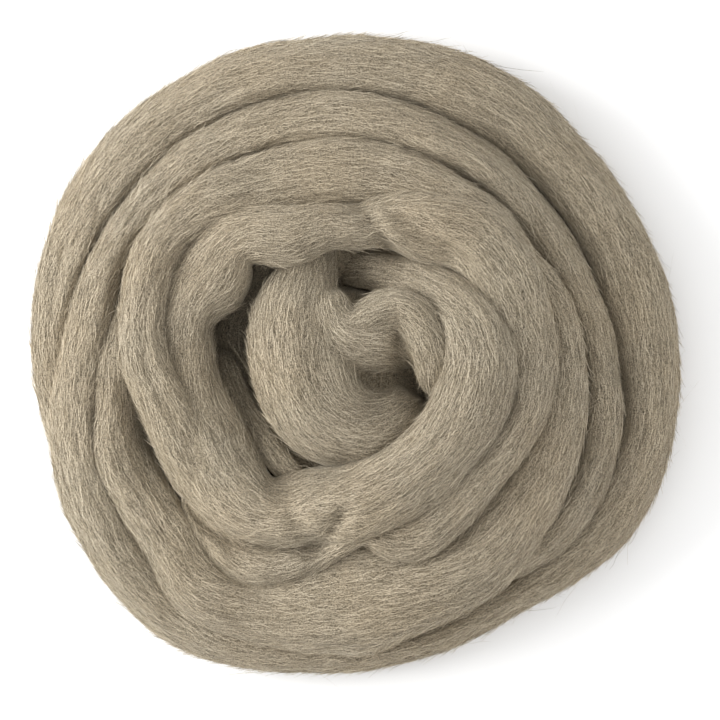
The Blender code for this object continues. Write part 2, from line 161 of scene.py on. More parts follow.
class Net:
    """Adds nodes to one tree, for shapes and for materials alike."""

    def __init__(self, tree):
        self.tree = tree

    def node(self, kind, settings=None, values=None):
        """One node, with its settings made first and then its sockets filled or linked."""
        node = self.tree.nodes.new(kind)
        for key, value in (settings or {}).items():
            setattr(node, key, value)
        for key, value in (values or {}).items():
            if isinstance(key, int):
                socket = node.inputs[key]
            else:
                socket = next(s for s in node.inputs if s.name == key and s.enabled)
            if isinstance(value, Wire):
                self.lead(value, socket)
            else:
                socket.default_value = value
        return node

    def add(self, kind, settings=None, values=None, take=None):
        """One node, handed back as its first output or the one that is named."""
        node = self.node(kind, settings, values)
        return self.out(node, take)

    def lead(self, wire, socket):
        """Link a wire to the socket it ends in."""
        self.tree.links.new(wire.socket, socket)

    def out(self, node, take=None):
        """An output of a node, by name or the first one in use."""
        if take is None:
            return Wire(self, next(s for s in node.outputs if s.enabled))
        return Wire(self, next(s for s in node.outputs if s.name == take and s.enabled))

    def maths(self, what, first, *others):
        """A sum on numbers, or on vectors where one of its parts is a vector."""
        parts = (first,) + others
        vector = any(isinstance(p, Wire) and p.socket.type == "VECTOR" for p in parts)
        if not vector:
            return self.add("ShaderNodeMath", {"operation": what}, dict(enumerate(parts)))
        if what == "MULTIPLY" and not isinstance(others[0], tuple):
            other = others[0]
            if not (isinstance(other, Wire) and other.socket.type == "VECTOR"):
                return self.add("ShaderNodeVectorMath", {"operation": "SCALE"},
                                {"Vector": first, "Scale": other})
        return self.add("ShaderNodeVectorMath", {"operation": what}, dict(enumerate(parts)))

    def ranged(self, value, start, end, low=0.0, high=1.0):
        """A value moved from one range to another and held inside it."""
        return self.add("ShaderNodeMapRange", None, {0: value, 1: start, 2: end, 3: low, 4: high})

    def flat_noise(self, x, y, detail, roughness=0.5):
        """Noise from 0 to 1 over a flat place."""
        return self.add("ShaderNodeTexNoise", {"noise_dimensions": "2D"}, {
            "Vector": self.combine(x, y, 0.0), "Scale": 1.0, "Detail": detail,
            "Roughness": roughness}, take="Fac")

    def read(self, name, kind="FLOAT"):
        """A named attribute of the shape."""
        return self.add("GeometryNodeInputNamedAttribute", {"data_type": kind}, {"Name": name})

    def keep(self, shape, name, value, kind="FLOAT", domain="POINT"):
        """The shape with a value kept on it under a name."""
        return self.add("GeometryNodeStoreNamedAttribute", {"data_type": kind, "domain": domain},
                        {"Geometry": shape, "Name": name, "Value": value})

    def combine(self, x, y, z):
        """A vector from three numbers."""
        return self.add("ShaderNodeCombineXYZ", None, {0: x, 1: y, 2: z})

    def split(self, vector):
        """The three numbers of a vector."""
        node = self.node("ShaderNodeSeparateXYZ", None, {0: vector})
        return [Wire(self, s) for s in node.outputs]


def shape_tree(name, sizes):
    """A geometry tree with a shape input, named sizes and a shape output."""
    tree = bpy.data.node_groups.new(name, "GeometryNodeTree")
    tree.interface.new_socket("Shape", in_out="INPUT", socket_type="NodeSocketGeometry")
    for label, value in sizes.items():
        kind = "NodeSocketInt" if isinstance(value, int) else "NodeSocketFloat"
        tree.interface.new_socket(label, in_out="INPUT", socket_type=kind).default_value = value
    tree.interface.new_socket("Shape", in_out="OUTPUT", socket_type="NodeSocketGeometry")
    net = Net(tree)
    start = tree.nodes.new("NodeGroupInput")
    given = {s.name: Wire(net, s) for s in start.outputs if s.name}
    return net, given


def close_tree(net, shape, material):
    """End a geometry tree: the material set and the shape handed out."""
    done = net.add("GeometryNodeSetMaterial", None, {"Geometry": shape, "Material": material})
    end = net.tree.nodes.new("NodeGroupOutput")
    net.lead(done, end.inputs["Shape"])
    return net.tree


def grown(name, mesh, tree, sizes):
    """Run a geometry tree on a mesh and hand back a plain mesh."""
    item = bpy.data.objects.new(name, mesh)
    bpy.context.scene.collection.objects.link(item)
    modifier = item.modifiers.new(name, "NODES")
    modifier.node_group = tree
    for socket in tree.interface.items_tree:
        if socket.in_out == "INPUT" and socket.name in sizes:
            modifier[socket.identifier] = sizes[socket.name]
    graph = bpy.context.evaluated_depsgraph_get()
    plain = bpy.data.meshes.new_from_object(item.evaluated_get(graph), depsgraph=graph)
    item.modifiers.remove(modifier)
    bpy.data.objects.remove(item, do_unlink=True)
    plain.name = name
    return plain


def smooth_rows(rows, steps=10):
    """Catmull-Rom curve through the rows of a table, every column at once."""
    keys = np.array(rows, dtype=float)
    last = len(keys) - 1
    found = []
    for i in range(last):
        before, start = keys[max(i - 1, 0)], keys[i]
        end, after = keys[i + 1], keys[min(i + 2, last)]
        for t in np.linspace(0.0, 1.0, steps, endpoint=False):
            bend = 2 * before - 5 * start + 4 * end - after
            turn = 3 * start - before - 3 * end + after
            found.append(0.5 * (2 * start + (end - before) * t + bend * t * t + turn * t ** 3))
    found.append(keys[last])
    return np.array(found)


def turn_route(rows):
    """Centre line, half width and crown of a turn given by its clock angles and edge radii."""
    line = smooth_rows(rows)
    clock = np.radians(line[:, 0])
    centre = (line[:, 1] + line[:, 2]) / 2
    half = (line[:, 1] - line[:, 2]) / 2
    return np.stack([centre * np.cos(clock), centre * np.sin(clock), half, line[:, 3]], axis=1)


# How full the lower half of a section is, where 2 is round, for a free outer turn and for a pressed
# inner one, and how far a free one sinks below the table, in millimetres.
ROUND_BELOW = 2.1
SQUARE_BELOW = 3.2
FREE_SINK = 2.0


def strand_lines(name, routes):
    """Centre lines as loose edges, with their section's sizes on the points."""
    points, edges, sizes = [], [], []
    for number, (route, free) in enumerate(routes):
        base = len(points)
        for i, (x, y, half, crown) in enumerate(route):
            if free:
                rise = (crown + FREE_SINK) / 2
                drop, low = rise, ROUND_BELOW
            else:
                rise = min(STRAND_RISE, half, crown / 2 + SINK / 2)
                drop, low = crown - rise + SINK, SQUARE_BELOW
            points.append((x * MM, y * MM, (crown - rise) * MM))
            sizes.append((half * MM, rise * MM, drop * MM, low, number))
            if i:
                edges.append((base + i - 1, base + i))
    mesh = bpy.data.meshes.new(name)
    mesh.from_pydata(points, edges, [])
    for column, label in enumerate(("half", "rise", "drop", "low", "strand")):
        data = mesh.attributes.new(label, "FLOAT", "POINT").data
        data.foreach_set("value", [row[column] for row in sizes])
    return mesh


# In millimetres: skin passed for each radian round a section, how far the folds and grooves wander
# sideways, and their length along the strand. The crown's share of the points round a section lies
# between the two crown ends.
SKIN_PER_RADIAN = 12.5
WANDER = 9.0
FOLD_LENGTH = 70.0
GROOVE_LENGTH = 34.0
CROWN_FROM = 0.12
CROWN_TO = 0.88


def winding_tree(material):
    """Lofts a full strand along each line: soft crown, pressed sides, long soft folds in its skin."""
    net, given = shape_tree("wind_strand", {
        "Step": 3.0 * MM, "Points Round": 80, "Crown Roundness": 2.15, "Fold Depth": 0.6 * MM,
        "Fold Width": 8.0 * MM, "Groove Depth": 0.09 * MM, "Groove Width": 2.2 * MM,
        "Lump Width": 16.0 * MM, "Lump Length": 34.0 * MM, "Lump Height": 1.6 * MM,
        "End Length": 9.0 * MM,
    })
    line = net.add("GeometryNodeMeshToCurve", None, {"Mesh": given["Shape"]})
    line = net.add("GeometryNodeResampleCurve", {"mode": "LENGTH"},
                   {"Curve": line, "Length": given["Step"]})
    along = net.add("GeometryNodeSplineParameter", take="Length")
    whole = net.add("GeometryNodeSplineLength", take="Length")
    line = net.keep(line, "along", along)
    line = net.keep(line, "left", whole - along)
    line = net.keep(line, "middle", net.add("GeometryNodeInputPosition"), "FLOAT_VECTOR")
    line = net.keep(line, "way", net.add("GeometryNodeInputTangent"), "FLOAT_VECTOR")
    rim = net.add("GeometryNodeCurvePrimitiveLine", None,
                  {"Start": (0.0, 0.0, 0.0), "End": (0.001, 0.0, 0.0)})
    rim = net.add("GeometryNodeResampleCurve", {"mode": "COUNT"},
                  {"Curve": rim, "Count": given["Points Round"]})
    rim = net.keep(rim, "round", net.add("GeometryNodeSplineParameter", take="Factor"))
    skin = net.add("GeometryNodeCurveToMesh", None, {"Curve": line, "Profile Curve": rim})

    # Angle round the section: most of the points go over the crown, and the seam is underneath.
    share = net.read("round")
    low_part = net.ranged(share, 0.0, CROWN_FROM, -math.pi / 2, 0.0)
    top_part = net.ranged(share, CROWN_FROM, CROWN_TO, 0.0, math.pi)
    end_part = net.ranged(share, CROWN_TO, 1.0, 0.0, math.pi / 2)
    angle = low_part + top_part + end_part
    skin = net.keep(skin, "angle", angle)
    angle = net.read("angle")
    cosine = net.maths("COSINE", angle)
    sine = net.maths("SINE", angle)
    upper = net.maths("GREATER_THAN", sine, 0.0)
    power = 2.0 / (net.read("low") * (1.0 - upper) + given["Crown Roundness"] * upper)
    wide = net.maths("SIGN", cosine) * net.maths("ABSOLUTE", cosine) ** power
    tall = net.maths("SIGN", sine) * net.maths("ABSOLUTE", sine) ** power

    # The ends round off to a point.
    near = net.maths("MINIMUM", net.read("along"), net.read("left")) / given["End Length"]
    near = 1.0 - net.maths("MINIMUM", near, 1.0)
    close = net.maths("SQRT", net.maths("MAXIMUM", 1.0 - near * near, 0.0))
    half = net.read("half")
    height = net.read("rise") * upper + net.read("drop") * (1.0 - upper)
    across = half * wide * close
    up = height * tall * close

    # Place across the strand and along it, on the skin: the grain of the wool.
    strand = net.read("strand")
    cross = (angle - math.pi / 2) * SKIN_PER_RADIAN * MM
    length = net.read("along")
    spot = net.combine(cross + strand * 0.2, length, 0.0)

    # Soft folds that wander along the strand, and fine grooves between locks of fibre.
    drift = net.add("ShaderNodeTexNoise", {"noise_dimensions": "2D"}, {
        "Vector": spot * 28.0, "Scale": 1.0, "Detail": 1.0}, take="Fac")
    wandering = cross + (drift - 0.5) * WANDER * MM
    fold = net.flat_noise(wandering / given["Fold Width"] + strand * 7.3,
                          length / FOLD_LENGTH / MM, 1.5)
    fold = net.maths("ABSOLUTE", fold * 2.0 - 1.0)
    fold = 1.0 - net.maths("MINIMUM", fold * 3.2, 1.0)
    groove = net.flat_noise(wandering / given["Groove Width"] + strand * 3.1,
                            length / GROOVE_LENGTH / MM, 2.0, 0.6)
    press = (0.25 - fold * fold) * given["Fold Depth"] + (groove - 0.55) * 2.0 * given["Groove Depth"]
    lump = net.flat_noise(cross / given["Lump Width"] + strand * 5.1,
                          length / given["Lump Length"], 1.0)
    press = press + (lump - 0.5) * 2.0 * given["Lump Height"]
    press = press * close

    way = net.split(net.read("way", "FLOAT_VECTOR"))
    side = net.combine(way[1], 0.0 - way[0], 0.0)
    side = net.add("ShaderNodeVectorMath", {"operation": "NORMALIZE"}, {0: side})
    out = side * (cosine * height) + net.combine(0.0, 0.0, sine * half)
    out = net.add("ShaderNodeVectorMath", {"operation": "NORMALIZE"}, {0: out})
    place = net.read("middle", "FLOAT_VECTOR") + side * across + net.combine(0.0, 0.0, up)
    place = place + out * press
    parts = net.split(place)
    place = net.combine(parts[0], parts[1], net.maths("MAXIMUM", parts[2], 0.0))
    skin = net.add("GeometryNodeSetPosition", None, {"Geometry": skin, "Position": place})
    skin = net.keep(skin, "grain", spot, "FLOAT2", "CORNER")
    skin = net.add("GeometryNodeMergeByDistance", None, {"Geometry": skin, "Distance": 0.002 * MM})
    skin = net.add("GeometryNodeFlipFaces", None, {"Mesh": skin})
    return close_tree(net, skin, material)


def fused(strands, grain_size, easing):
    """The strands as one skin, pressed together, without the hollows that are shut in between."""
    item = bpy.data.objects.new("fusing", strands)
    bpy.context.scene.collection.objects.link(item)
    fuse = item.modifiers.new("fuse", "REMESH")
    fuse.mode = "VOXEL"
    fuse.voxel_size = grain_size
    ease = item.modifiers.new("ease", "SMOOTH")
    ease.factor = 0.5
    ease.iterations = easing
    graph = bpy.context.evaluated_depsgraph_get()
    plain = bpy.data.meshes.new_from_object(item.evaluated_get(graph), depsgraph=graph)
    bpy.data.objects.remove(item, do_unlink=True)
    shape = bmesh.new()
    shape.from_mesh(plain)

    # Each shut skin is walked from face to face, and all but the largest are taken away.
    left = set(shape.faces)
    skins = []
    while left:
        skin = [left.pop()]
        for face in skin:
            for edge in face.edges:
                for other in edge.link_faces:
                    if other in left:
                        left.remove(other)
                        skin.append(other)
        skins.append(skin)
    skins.sort(key=len)
    for skin in skins[:-1]:
        bmesh.ops.delete(shape, geom=skin, context="FACES")
    loose = [v for v in shape.verts if not v.link_faces]
    bmesh.ops.delete(shape, geom=loose, context="VERTS")
    shape.to_mesh(plain)
    shape.free()
    return plain


def joining_tree(strands, turns, material):
    """Gives the fused folds the grain of the strand below each face, and joins the turns on."""
    net, given = shape_tree("join_wool", {})
    skin = given["Shape"]
    source = net.add("GeometryNodeObjectInfo", None, {"Object": strands}, "Geometry")

    def nearest(value, kind, **groups):
        values = {"Mesh": source, "Value": value}
        values.update(groups)
        return net.add("GeometryNodeSampleNearestSurface", {"data_type": kind}, values, "Value")

    skin = net.keep(skin, "strand", nearest(net.read("strand"), "FLOAT"), "FLOAT", "FACE")
    same = {"Group ID": net.read("strand"), "Sample Group ID": net.read("strand")}
    grain = nearest(net.read("grain", "FLOAT_VECTOR"), "FLOAT_VECTOR", **same)
    skin = net.keep(skin, "grain", grain, "FLOAT2", "CORNER")
    way = nearest(net.read("way", "FLOAT_VECTOR"), "FLOAT_VECTOR")
    skin = net.keep(skin, "way", way, "FLOAT_VECTOR")
    rest = net.add("GeometryNodeObjectInfo", None, {"Object": turns}, "Geometry")
    join = net.node("GeometryNodeJoinGeometry")
    net.lead(skin, join.inputs[0])
    net.lead(rest, join.inputs[0])
    whole = net.add("GeometryNodeSetShadeSmooth", None, {"Geometry": net.out(join)})
    return close_tree(net, whole, material)


# In millimetres: half the side of a height map of the coil, how far to look in it for higher wool on
# both sides of a point, and the depths below that at which the painted crease shade starts and is full.
HALF_MAP = 130
BANK_REACH = 9
OPEN_DEPTH = 2.5
FULL_DEPTH = 46.0

# Creases pressed into the skin of a fold: width, depth, and points on the crease, in millimetres. A
# depth below zero eases a crease that the turns make. Skin below the crease floor is left alone.
CREASE_FLOOR = 12.0
CREASES = [
    ("gap beside the left side", 4.5, 5.0,
     [(-71, -6), (-69, -15), (-66, -24), (-63.2, -33), (-60.5, -42)]),
    ("second turn on the left", 2.6, 1.4, [(-60, 50), (-68, 38), (-73.4, 22), (-74.6, 6), (-72.5, -6)]),
    ("eased left of the second turn", 4.0, -2.6,
     [(-42.5, 74.5), (-61, 62), (-76.5, 44.2), (-87.5, 23.5), (-93, 2)]),
    ("eased join of the second and third turns", 3.0, -1.6,
     [(-73.8, 17.4), (-78.7, 2.6), (-80.8, -11.4), (-81.6, -23.8), (-76.2, -41.9)]),
    ("eased top of the second turn", 4.0, -3.6,
     [(-50, 70), (-28, 82), (0, 83), (22, 80), (40, 70)]),
    ("eased top of the third turn", 4.0, -3.2,
     [(-34, 62), (-15, 67.5), (0, 69), (20, 66.5), (35, 61), (46, 52)]),
    ("where the right side comes over", 2.2, 4.2,
     [(-4, 48), (-0.5, 46.5), (3.5, 43.5), (6, 40), (8.5, 36), (12, 32), (15, 30)]),
    ("dip right of the band", 4.0, 4.0,
     [(6.5, 49), (10, 45), (15.5, 41.6), (23.9, 36), (31.1, 31.1), (36.5, 25.5)]),
    ("side of the curl", 2.4, 3.0, [(13, 13), (13.8, 7), (13.5, 1), (14.5, -5)]),
    ("bottom slope to the loop", 4.5, 4.5,
     [(-27, -43), (-21.7, -40), (-14, -39), (-6.2, -36), (1, -33)]),
    ("bottom of the left side", 2.2, 1.5, [(-31, -50), (-26, -48.5), (-20, -44.7)]),
    ("between the left side and the lobe", 3.2, 3.0,
     [(-22, -39), (-19.6, -46.3), (-18, -51.6), (-14, -57), (-8, -61)]),
    ("bottom of the lobe", 2.2, 4.0,
     [(-15.5, -59.5), (-10.6, -56.8), (-7.3, -53.2), (-4.4, -49.2), (-2.2, -45)]),
    ("over the lens fold", 1.9, 5.0,
     [(-52, -45), (-48.5, -50), (-44.4, -54), (-38.8, -57.2), (-33.9, -58.4), (-23, -59.2),
      (-14.9, -59.6), (-10, -61)]),
    ("below the lens fold", 1.8, 1.6,
     [(-48, -54), (-45.1, -60.4), (-41, -66.2), (-35.2, -70.3), (-28.6, -71.5), (-21, -70.2),
      (-16.2, -67.8), (-9.6, -63.4)]),
    ("eased notch under the lobe", 4.0, -3.0,
     [(-6, -60.5), (-1, -59.5), (3, -59), (7, -58.5), (11, -58)]),
    ("inside the lens fold", 2.2, 1.4, [(-42, -57.8), (-36.6, -62.4), (-32.3, -64.6)]),
    ("lower left", 2.0, 1.2, [(-59.6, -52.8), (-57, -59.6)]),
]


def spots_of(mesh):
    """The places of a mesh's points, one row for each."""
    spots = np.empty(len(mesh.vertices) * 3, dtype=np.float32)
    mesh.vertices.foreach_get("co", spots)
    return spots.reshape(-1, 3)


def press_creases(mesh):
    """Push the skin down along each crease, softly, and fade out at the crease's ends."""
    spots = spots_of(mesh)
    for _, width, depth, marks in CREASES:
        path = smooth_rows(marks, 12) * MM
        way = spots[:, None, :2] - path[None, :, :]
        gap = np.hypot(way[..., 0], way[..., 1])
        nearest = gap.argmin(axis=1)
        fade = np.sin(np.pi * (nearest + 0.5) / len(path)) ** 0.5
        press = depth * MM * fade * np.exp(-(gap.min(axis=1) / (width * MM)) ** 2)
        spots[:, 2] -= press * (spots[:, 2] > CREASE_FLOOR * MM)
    mesh.vertices.foreach_set("co", spots.ravel())


def keep_crease_shade(mesh):
    """Keep on each point a painted crease shade, from how far it lies below wool on both sides, 0 in
    the open to 1.
    """
    spots = spots_of(mesh) / MM
    column, row = (np.rint(spots[:, :2]).astype(int) + HALF_MAP).T
    heights = np.zeros((2 * HALF_MAP, 2 * HALF_MAP))
    np.maximum.at(heights, (row, column), spots[:, 2])
    banks = np.zeros_like(heights)
    for angle in np.radians(range(0, 180, 30)):
        sides = []
        for way in (1, -1):
            side = np.zeros_like(heights)
            for reach in range(1, BANK_REACH + 1):
                shift = (round(way * reach * math.sin(angle)), round(way * reach * math.cos(angle)))
                side = np.maximum(side, np.roll(heights, shift, (0, 1)))
            sides.append(side)
        banks = np.maximum(banks, np.minimum(*sides))
    for _ in range(3):
        for axis in (0, 1):
            banks = (np.roll(banks, 1, axis) + banks + np.roll(banks, -1, axis)) / 3
    deep = np.clip((banks[row, column] - spots[:, 2] - OPEN_DEPTH) / FULL_DEPTH, 0.0, 1.0)
    mesh.attributes.new("deep", "FLOAT", "POINT").data.foreach_set("value", deep.astype(np.float32))


def centre(mesh):
    """Middle of the outline over the origin."""
    spots = spots_of(mesh)
    middle = (spots.min(axis=0) + spots.max(axis=0)) / 2
    spots[:, :2] -= middle[:2]
    mesh.vertices.foreach_set("co", spots.ravel())
    mesh.update()


# Undyed fleece: the two tints that it drifts between, and the colour of its sheen. The drift of its
# tint and the small waves of its fibres are given as how many there are to a metre.
COOL_TINT = (0.975, 0.985, 0.985, 1.0)
WARM_TINT = (1.0, 0.985, 0.95, 1.0)
SHEEN_TINT = (1.0, 0.9, 0.72, 1.0)
DRIFTS_PER_METRE = 30.0
CRIMPS_PER_METRE = 2200.0


def tinted(net, colour):
    """A colour that drifts a little between warm and cool from one place in the fleece to the next."""
    place = net.add("ShaderNodeTexCoord", take="Object")
    drift = net.add("ShaderNodeTexNoise", None, {
        "Vector": place, "Scale": DRIFTS_PER_METRE, "Detail": 2.0}, take="Fac")
    tint = net.node("ShaderNodeMix", {"data_type": "RGBA"}, {
        "Factor": net.ranged(drift, 0.36, 0.64), "A": COOL_TINT, "B": WARM_TINT})
    mixed = net.node("ShaderNodeMix", {"data_type": "RGBA", "blend_type": "MULTIPLY"}, {
        "Factor": 1.0, "A": colour, "B": net.out(tint, "Result")})
    return net.out(mixed, "Result")


def crimped(net):
    """Light and dark along the small waves of the fibres, from -0.5 to 0.5."""
    place = net.add("ShaderNodeTexCoord", take="Object")
    wave = net.add("ShaderNodeTexNoise", None, {
        "Vector": place, "Scale": CRIMPS_PER_METRE, "Detail": 0.0}, take="Fac")
    return net.ranged(wave, 0.3, 0.7, -0.5, 0.5)


def fleece_colour(net, tone, steps):
    """The colour of a tone, from a table of tones and their colours, with the drift of the fleece."""
    colour = net.add("ShaderNodeValToRGB", None, {0: tone}, take="Color")
    ramp = colour.socket.node.color_ramp
    ramp.elements.remove(ramp.elements[1])
    for level, _ in steps[1:]:
        ramp.elements.new(level)
    for step, (level, shade) in zip(ramp.elements, steps):
        step.position = level
        step.color = shade + (1.0,)
    return tinted(net, colour)


# Lock of wool: tones and their colours, its streaks and locks as width and length in millimetres, and
# the small waves along them as length and height.
WOOL_STEPS = [
    (0.1, (0.0318, 0.0254, 0.0171)), (0.34, (0.129, 0.105, 0.0705)), (0.64, (0.343, 0.288, 0.205)),
]
SWAY_WIDTH, SWAY_LENGTH, SWAY_REACH = 4.0, 4.5, 1.6
STREAK_WIDTH, STREAK_LENGTH = 0.15, 1.8
LOCK_WIDTH, LOCK_LENGTH = 6.0, 30.0
WAVE_LENGTH, WAVE_HEIGHT = 3.4, 0.16
# How much the painted crease shade takes off the tone of the wool, at most.
DEEP_SHADE = 0.25


def wool_material(material):
    """Undyed combed wool: fine streaks of lighter and darker fibre along the strand."""
    material.use_nodes = True
    net = Net(material.node_tree)
    shader = material.node_tree.nodes["Principled BSDF"]
    grain = net.add("ShaderNodeAttribute", {"attribute_name": "grain"}, take="Vector")
    x, y, _ = net.split(grain)
    sway = net.flat_noise(x / (SWAY_WIDTH * MM), y / (SWAY_LENGTH * MM), 2.0)
    wave = net.maths("SINE", y / (WAVE_LENGTH * MM) * 2.0 * math.pi + sway * 14.0)
    bent = x + (sway - 0.5) * (SWAY_REACH * MM) + wave * (WAVE_HEIGHT * MM)
    streak = net.flat_noise(bent / (STREAK_WIDTH * MM), y / (STREAK_LENGTH * MM), 1.0)
    lock = net.flat_noise(bent / (LOCK_WIDTH * MM), y / (LOCK_LENGTH * MM), 2.0)
    tone = streak * 0.8 + lock * 0.2 + crimped(net) * 0.2
    # Painted shade: the tone is lowered where the skin lies low between wool on both sides.
    deep = net.add("ShaderNodeAttribute", {"attribute_name": "deep"}, take="Fac")
    colour = fleece_colour(net, tone - deep * DEEP_SHADE, WOOL_STEPS)
    net.lead(colour, shader.inputs["Base Color"])
    bump = net.add("ShaderNodeBump", None, {"Strength": 0.6, "Distance": 0.3 * MM, "Height": streak})
    net.lead(bump, shader.inputs["Normal"])
    shader.inputs["Roughness"].default_value = 0.85
    shader.inputs["Specular IOR Level"].default_value = 0.3
    shader.inputs["Sheen Weight"].default_value = 0.3
    shader.inputs["Sheen Roughness"].default_value = 0.5
    shader.inputs["Sheen Tint"].default_value = SHEEN_TINT


wool = bpy.data.materials.new("combed_wool")
winding = winding_tree(wool)


def lofted(name, routes):
    """An object of full strands along some routes."""
    item = bpy.data.objects.new(name, grown(name, strand_lines(name, routes), winding, {}))
    bpy.context.scene.collection.objects.link(item)
    return item


turns = lofted("turns", [
    (turn_route(OUTER_TURN), True), (turn_route(SECOND_TURN), True),
    (turn_route(THIRD_TURN), False), (turn_route(FOURTH_TURN + FIFTH_TURN), False),
    (smooth_rows(NARROW_STRAND), False), (smooth_rows(LOWER_LEFT), False),
    (smooth_rows(GAP_FLOOR), False)])
folds = lofted("folds", [
    (smooth_rows(MIDDLE_LOOP), False), (smooth_rows(CURL), False), (smooth_rows(VALLEY), False),
    (smooth_rows(HOLLOW), False), (smooth_rows(LOWER_RING), False)])
skin = fused(folds.data, 1.0 * MM, 4)
skin = grown("wound_wool", skin, joining_tree(folds, turns, wool), {})
bpy.data.objects.remove(folds, do_unlink=True)
bpy.data.objects.remove(turns, do_unlink=True)
press_creases(skin)
keep_crease_shade(skin)
centre(skin)
wool_material(wool)
wound = bpy.data.objects.new("wound_wool", skin)
bpy.context.scene.collection.objects.link(wound)
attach(wound, "root")
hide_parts("wool_roving")


# ---------------------------------------------------------------------------------------------------
# The top fibres, the fuzz and the stray hairs.
# The loose outside of the wool itself. The fibres follow the strand they belong to, with the small
# waves of the fleece, and slip under the next turn where the strand does. Only their ends lift off.

# Lays of fibre, from the ground up. After the name come the seed, the space between fibres, points
# along a fibre, shortest, longest, width, height and length of the waves, slant, lift off the skin,
# how far a loose end flies up, tilt, darkest and lightest tone, and how much the lay thins out on
# level wool. Lengths are in millimetres.
LAYS = [
    ("top_fibres_1", 1, 1.4, 6, 2.6, 5.5, 0.18, 0.14, 2.4, 0.55, 0.05, 0.8, 0.8, 0.35, 0.8, 0.0),
    ("top_fibres_2", 2, 1.4, 6, 2.6, 5.5, 0.18, 0.14, 2.4, 0.55, 0.05, 0.8, 0.8, 0.35, 0.8, 0.0),
    ("top_fibres_3", 3, 1.4, 6, 3.0, 6.5, 0.16, 0.15, 2.5, 0.45, 0.12, 1.2, 0.8, 0.35, 0.95, 0.0),
    ("top_fibres_4", 4, 1.5, 7, 4.0, 8.5, 0.15, 0.18, 3.0, 0.40, 0.20, 1.5, 0.7, 0.8, 1.1, 0.0),
    ("fuzz", 5, 1.25, 5, 4.0, 9.0, 0.12, 0.80, 6.0, 0.80, 0.25, 2.4, 1.57, 0.5, 1.1, 0.8),
    ("stray_hairs", 6, 7.0, 9, 9.0, 24.0, 0.12, 1.60, 9.0, 1.60, 0.30, 7.0, 1.57, 0.3, 0.9, 0.5),
]
LAY_SIZES = ("Seed", "Spacing", "Points per Fibre", "Shortest", "Longest", "Width", "Wave",
             "Wave Length", "Slant", "Lift", "Fly", "Tilt", "Darkest", "Lightest", "Thinner on Top")

# No fibre grows lower than the foot, or further under the outside of the coil than it may be buried,
# in millimetres. Skin that faces along its strand is the strand's end, and has none either.
FOOT = 2.0
BURIED = 2.0
END_FACING = 0.5

# Fibres that lie together and share a tone, as width and length in millimetres, how much their tone
# differs from the next ones, and how much of it is taken off as painted shade where a fibre lies low.
SHARED_WIDTH, SHARED_LENGTH = 3.0, 40.0
SHARED_TONE = 0.4
CREASE_SHADE_ON_FIBRES = 0.92


